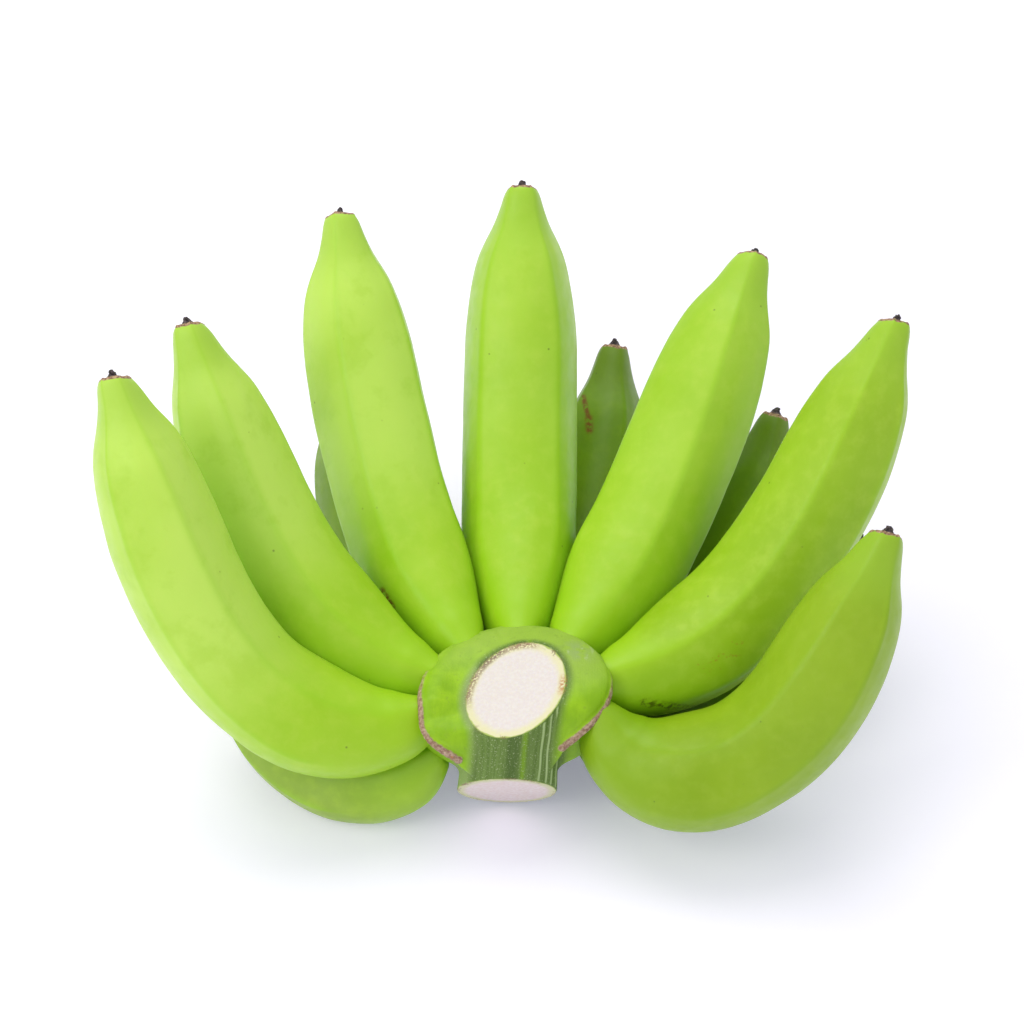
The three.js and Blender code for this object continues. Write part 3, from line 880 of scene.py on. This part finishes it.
# The rubbed grey patch on the right shoulder, with whitish scratches.
SCUFF_GREY = (0.3, 0.38, 0.2, 1.0)
SCUFFS = {"size": 0.004, "detail": 4.0, "range": (0.35, 0.62), "cover": 0.8}
SCUFF_WHITE = (0.62, 0.66, 0.5, 1.0)
SCUFF_LINES = {"sizes": (0.006, 0.0007, 0.003), "detail": 4.0, "range": (0.6, 0.68), "cover": 0.6}

# The corky scar, flecked with orange, and the dry line along it.
SCAR_BROWNS = ((0.27, 0.14, 0.09, 1.0), (0.6, 0.43, 0.31, 1.0))
SCAR_GRAIN = {"size": 0.0013, "detail": 5.0, "roughness": 0.7, "range": (0.35, 0.66)}
FLECK_ORANGE = (0.5, 0.2, 0.04, 1.0)
FLECKS = {"size": 0.002, "detail": 2.0, "range": (0.62, 0.72), "cover": 0.6}
SCAR_FADES_ABOVE = (0.0015, 0.009)
SCAR_EDGE = (0.0013, 0.0020)
DRY_LINE_EDGE = (0.0003, 0.0011)
DRY_LINE_STREAKS = (0.5, 0.62)
DRY_LINE_BROWN = (0.3, 0.2, 0.08, 1.0)
DRY_LINE_COVER = 0.5

# The cut faces: pinkish pith with mealy and veined patches, a ring inside the edge, and drying specks.
CUT_FACES = [
    ("top_edge", (0.74, 0.67, 0.655, 1.0), (0.76, 0.72, 0.46, 1.0)),
    ("bottom_edge", (0.7, 0.58, 0.56, 1.0), (0.6, 0.6, 0.36, 1.0)),
]
EDGE_WANDER = {"size": 0.0035, "detail": 4.0, "reach": 0.0018}
MEALY_WHITE = (0.79, 0.75, 0.745, 1.0)
MEALY = {"size": 0.0012, "detail": 3.0, "range": (0.35, 0.7), "cover": 0.6}
VEIN_PINK = (0.82, 0.66, 0.6, 1.0)
VEINS = {"size": 0.0022, "detail": 5.0, "roughness": 0.7, "range": (0.56, 0.7), "cover": 0.2}
INNER_RING = (-0.0040, -0.0012)
OUTER_RING = (-0.0006, 0.0)
OUTER_GREEN = (0.42, 0.52, 0.12, 1.0)
FACE_EDGE = (-0.00015, 0.00025)
FINE_GRAIN = {"size": 0.0008, "detail": 3.0}
DRYING_BAND = {"middle": -0.0004, "half_width": 0.0008, "soft": 0.0005}
DRYING_GRAIN = (0.42, 0.55)
DRYING_BROWN = (0.2, 0.11, 0.075, 1.0)
DRYING = {"size": 0.006, "detail": 2.0, "range": (0.52, 0.64), "cover": 0.85}
DRIED_BAND = {"middle": -0.0009, "half_width": 0.0012, "soft": 0.0009}
DRIED_GRAIN = (0.36, 0.52)
DRIED_COVER = 0.8

CROWN_ROUGHNESS = (0.42, 0.57)
CROWN_SOCKETS = {
    "Specular IOR Level": 0.35,
    "Subsurface Weight": 0.1,
    "Subsurface Radius": (0.8, 1.0, 0.3),
    "Subsurface Scale": 0.003,
}
CROWN_BUMP = {"Strength": 0.5, "Distance": 0.0004}
CROWN_RELIEF = {"fine": 0.5, "streaks": 0.6, "cork": 1.5}


def streaked(tree, layer):
    """A noise that is drawn out along or across the stalk, as a layer says."""
    return noise_at(tree, stretched(tree, layer["sizes"]), 1.0, layer["detail"])


def stalk_colour(tree, place, streaks):
    """The stalk's front, without its fibres."""
    across = measure(tree, "across")
    colour = tinted(tree, *DUSTY_GREENS, between(tree, streaks, *STREAKS["range"]))
    for edges, green, cover in STALK_BANDS:
        colour = tinted(tree, colour, green, band(tree, across, edges), cover)
    colour = ranged(tree, colour, LEFT_SIDE_GREEN, across, LEFT_SIDE_TINT, turned=True)
    return patched(tree, colour, DUST_GREY, place, DUST)


def cut_colour(tree, colour, place, fine, edge, pith, ring):
    """Lays one cut face over the crown's colour, inside its edge."""
    ragged = wandering(tree, edge, place, EDGE_WANDER)
    flesh = patched(tree, pith, MEALY_WHITE, place, MEALY)
    flesh = patched(tree, flesh, VEIN_PINK, place, VEINS)
    flesh = tinted(tree, flesh, ring, between(tree, ragged, *INNER_RING))
    flesh = tinted(tree, flesh, OUTER_GREEN, between(tree, ragged, *OUTER_RING))
    colour = tinted(tree, colour, flesh, between(tree, edge, *FACE_EDGE, turned=True))
    drying = product(tree, band(tree, ragged, DRYING_BAND), between(tree, fine, *DRYING_GRAIN))
    return patched(tree, colour, DRYING_BROWN, place, DRYING, within=drying)


def crown_material():
    """Lime skin, dusty darker stalk with streaks, pale cut pith with a green and brown edge, corky scar."""
    material = bpy.data.materials.new("crown_skin")
    tree, shader = tree_of(material)
    place = add_node(tree, "ShaderNodeTexCoord").outputs["Object"]
    height = measure(tree, "height")
    scar = measure(tree, "scar")
    streaks = streaked(tree, STREAKS)
    fine = noise_at(tree, place, **FINE_GRAIN)
    colour = tinted(tree, *CUSHION_GREENS, patches(tree, place, CUSHION_CLOUD))
    colour = ranged(tree, colour, RIM_GREEN, height, RIM_TINT)
    colour = patched(tree, colour, SHADE_GREEN, place, SHADES)
    wall = between(tree, measure(tree, "outside"), *WALL_EDGE, turned=True)
    colour = tinted(tree, colour, stalk_colour(tree, place, streaks), wall)
    colour = ranged(tree, colour, FIBRE_GREEN, measure(tree, "fibre"), FIBRE_TINT)
    shoulder = near_point(tree, place, crown_frame @ SCUFF_PLACE, SCUFF_REACH)
    colour = patched(tree, colour, SCUFF_GREY, place, SCUFFS, within=shoulder)
    lines = between(tree, streaked(tree, SCUFF_LINES), *SCUFF_LINES["range"])
    colour = tinted(tree, colour, SCUFF_WHITE, product(tree, lines, shoulder), SCUFF_LINES["cover"])

    cork_grain = patches(tree, place, SCAR_GRAIN)
    cork_colour = patched(tree, tinted(tree, *SCAR_BROWNS, cork_grain), FLECK_ORANGE, place, FLECKS)
    lower = between(tree, height, *SCAR_FADES_ABOVE, turned=True)
    cork = product(tree, between(tree, scar, *SCAR_EDGE, turned=True), lower)
    colour = tinted(tree, colour, cork_colour, cork)
    dry_line = product(
        tree, between(tree, scar, *DRY_LINE_EDGE, turned=True), between(tree, streaks, *DRY_LINE_STREAKS)
    )
    colour = tinted(tree, colour, DRY_LINE_BROWN, dry_line, DRY_LINE_COVER)

    for name, pith, ring in CUT_FACES:
        colour = cut_colour(tree, colour, place, fine, measure(tree, name), pith, ring)
    dried_edge = band(tree, measure(tree, "top_edge"), DRIED_BAND)
    dried_edge = product(tree, dried_edge, between(tree, fine, *DRIED_GRAIN))
    for azimuth, reach, dried in DRIED_EDGES:
        spot = near_point(tree, place, crown_frame @ cut_rim(TOP_CUT, azimuth), reach)
        colour = tinted(tree, colour, dried, product(tree, spot, dried_edge), DRIED_COVER)
    tree.links.new(colour, shader.inputs["Base Color"])

    roughened(tree, shader, total(tree, wall, fine), *CROWN_ROUGHNESS)
    set_sockets(shader, CROWN_SOCKETS)
    relief = total(
        tree, product(tree, fine, CROWN_RELIEF["fine"]), product(tree, streaks, CROWN_RELIEF["streaks"])
    )
    cork_relief = product(tree, product(tree, cork_grain, cork), CROWN_RELIEF["cork"])
    bumped(tree, shader, total(tree, relief, cork_relief), CROWN_BUMP)
    return material


crown.data.materials.append(crown_material())
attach(crown, "root")
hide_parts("crown")


# The studio: a white floor under soft, nearly even light that comes mostly from above.
# The floor glows a little, so that it melts into the background and its contact shadow stays pale.
FLOOR_SIZE = 8.0
FLOOR_SOCKETS = {
    "Base Color": (0.86, 0.86, 0.88, 1.0),
    "Roughness": 0.9,
    "Specular IOR Level": 0.1,
    "Emission Color": (0.72, 0.64, 1.0, 1.0),
    "Emission Strength": 0.3,
}
SKY_SOCKETS = {"Color": (0.95, 0.97, 1.0, 1.0), "Strength": 0.68}
WARM = (1.0, 0.97, 0.91)
LIGHTS = {
    "key_light": {"place": (-0.5, -0.42, 0.55), "aim": (-0.03, 0.0, 0.07), "size": 0.5, "power": 1.8},
    "top_light": {"place": (-0.15, 0.4, 1.4), "aim": (0.0, 0.0, 0.08), "size": 1.1, "power": 9.3},
}

bpy.ops.object.select_all(action="DESELECT")
bpy.ops.mesh.primitive_plane_add(size=FLOOR_SIZE, location=(0.0, 0.0, 0.0))
floor = bpy.context.object
floor.name = "floor"
white = bpy.data.materials.new("white_floor")
_, shader = tree_of(white)
set_sockets(shader, FLOOR_SOCKETS)
floor.data.materials.append(white)

world = bpy.data.worlds.new("studio")
bpy.context.scene.world = world
world.use_nodes = True
set_sockets(world.node_tree.nodes["Background"], SKY_SOCKETS)


def soft_light(name, place, aim, size, power):
    """A large square light that looks at a point."""
    light = bpy.data.lights.new(name, "AREA")
    light.shape = "SQUARE"
    light.size = size
    light.energy = power
    light.color = WARM
    lamp = bpy.data.objects.new(name, light)
    bpy.context.scene.collection.objects.link(lamp)
    lamp.location = place
    lamp.rotation_euler = (Vector(aim) - Vector(place)).to_track_quat("-Z", "Y").to_euler()


for name, settings in LIGHTS.items():
    soft_light(name, **settings)

# The camera looks down at the open side of the hand, as the photograph does.
# It stands a metre off with a long lens, so that near and far fingers keep their proportions.
CAMERA_ELEVATION = math.radians(42.0)
CAMERA_DISTANCE = 1.0
CAMERA_AIM = CROWN_MIDDLE + Vector((-0.00108, 0.0453, 0.0503))
SENSOR_WIDTH = 36.0
FOCAL_LENGTH = 97.66
camera = bpy.data.objects.new("camera", bpy.data.cameras.new("camera"))
bpy.context.scene.collection.objects.link(camera)
backward = Vector((0.0, -math.cos(CAMERA_ELEVATION), math.sin(CAMERA_ELEVATION)))
camera.location = CAMERA_AIM + backward * CAMERA_DISTANCE
camera.rotation_euler = (-backward).to_track_quat("-Z", "Y").to_euler()
camera.data.sensor_width = SENSOR_WIDTH
camera.data.lens = FOCAL_LENGTH
bpy.context.scene.camera = camera
bpy.context.scene.view_settings.view_transform = "Standard"
